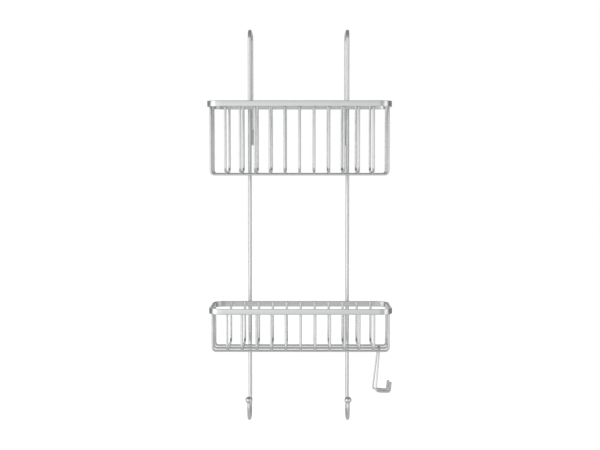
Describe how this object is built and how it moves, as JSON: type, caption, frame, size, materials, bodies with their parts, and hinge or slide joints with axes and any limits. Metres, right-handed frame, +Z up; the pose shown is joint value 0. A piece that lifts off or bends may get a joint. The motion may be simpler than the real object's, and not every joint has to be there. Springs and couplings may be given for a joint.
{
  "type": "shower caddy",
  "caption": "Over-the-door shower caddy: an upper and a lower wire basket on round uprights, with door hooks, ball-ended towel hooks and a hanging razor hook.",
  "frame": {"origin": "midway between the two over-door hooks, on the underside of their tops, where the door's top edge bears", "axes": "+Z up, the baskets stand out from the door towards -Y, +X to the right when facing them"},
  "size_m": [0.338, 0.2138, 0.7407],
  "materials": {
    "satin_steel": "satin plated steel rod",
    "strip_steel": "satin plated flat strip",
    "wire_steel": "satin plated wire",
    "ball_steel": "satin plated ball",
    "grey_vinyl": "satin soft vinyl"
  },
  "bodies": {
    "caddy": {"left_upright": "satin_steel", "right_upright": "satin_steel", "left_hook_ball": "ball_steel", "right_hook_ball": "ball_steel", "left_leg_cap": "grey_vinyl", "right_leg_cap": "grey_vinyl", "upper_rim": "strip_steel", "lower_rim": "strip_steel", "upper_cross_wire_01": "wire_steel", "upper_cross_wire_02": "wire_steel", "upper_cross_wire_03": "wire_steel", "upper_cross_wire_04": "wire_steel", "upper_cross_wire_05": "wire_steel", "upper_cross_wire_06": "wire_steel", "upper_cross_wire_07": "wire_steel", "upper_cross_wire_08": "wire_steel", "upper_cross_wire_09": "wire_steel", "upper_cross_wire_10": "wire_steel", "upper_cross_wire_11": "wire_steel", "lower_cross_wire_01": "wire_steel", "lower_cross_wire_02": "wire_steel", "lower_cross_wire_03": "wire_steel", "lower_cross_wire_04": "wire_steel", "lower_cross_wire_05": "wire_steel", "lower_cross_wire_06": "wire_steel", "lower_cross_wire_07": "wire_steel", "lower_cross_wire_08": "wire_steel", "lower_cross_wire_09": "wire_steel", "lower_cross_wire_10": "wire_steel", "lower_cross_wire_11": "wire_steel", "upper_long_wire_1": "wire_steel", "upper_long_wire_2": "wire_steel", "upper_long_wire_3": "wire_steel", "lower_long_wire_1": "wire_steel", "lower_long_wire_2": "wire_steel", "lower_long_wire_3": "wire_steel"},
    "razor_hanger": {"razor_hook": "wire_steel", "razor_sleeve_front": "grey_vinyl", "razor_sleeve_rear": "grey_vinyl"}
  },
  "joints": [
    {"name": "razor_hook_swing", "type": "hinge", "parent": "caddy", "child": "razor_hanger", "pos_m": [0.1491, -0.1066, -0.5912], "axis": [1, 0, 0], "range_deg": [-65, 65]}
  ]
}
